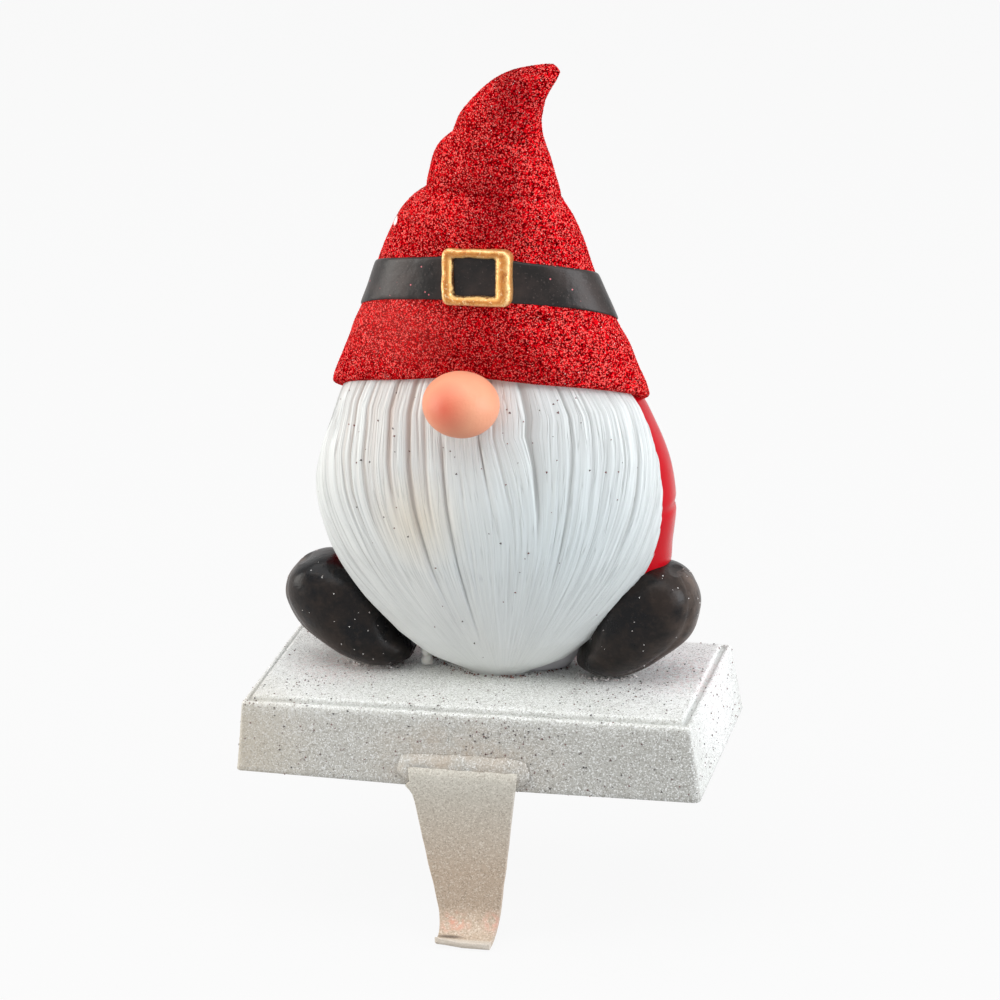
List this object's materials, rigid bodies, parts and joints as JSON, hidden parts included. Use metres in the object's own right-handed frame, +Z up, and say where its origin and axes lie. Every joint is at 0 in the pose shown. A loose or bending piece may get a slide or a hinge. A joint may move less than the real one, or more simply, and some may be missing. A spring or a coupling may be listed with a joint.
{
  "type": "mantel stocking holder",
  "caption": "Weighted mantel stocking holder with a glittered rectangular base, a tapered strap hook below the shelf edge and a gnome figure on top.",
  "frame": {"origin": "middle of the non-slip pad's face, which lies on the shelf", "axes": "+Z up, the hook and the gnome's face look along -Y, +X is the viewer's right from the front"},
  "size_m": [0.11, 0.0611, 0.1994],
  "materials": {
    "glitter_base": "satin",
    "pad": "matte",
    "hook_paint": "satin",
    "weld_paint": "satin",
    "figure_paint": "satin",
    "glue": "satin",
    "hat_glitter": "gloss",
    "belt_paint": "satin",
    "buckle_gold": "satin",
    "nose_paint": "satin",
    "beard_paint": "satin",
    "coat_paint": "gloss",
    "boot_paint": "satin"
  },
  "bodies": {
    "root": {"base_block": "glitter_base", "non_slip_pad": "pad", "hook": "hook_paint", "hook_weld": "weld_paint", "gnome_figure": "figure_paint", "glue_bead": "glue"}
  },
  "joints": []
}
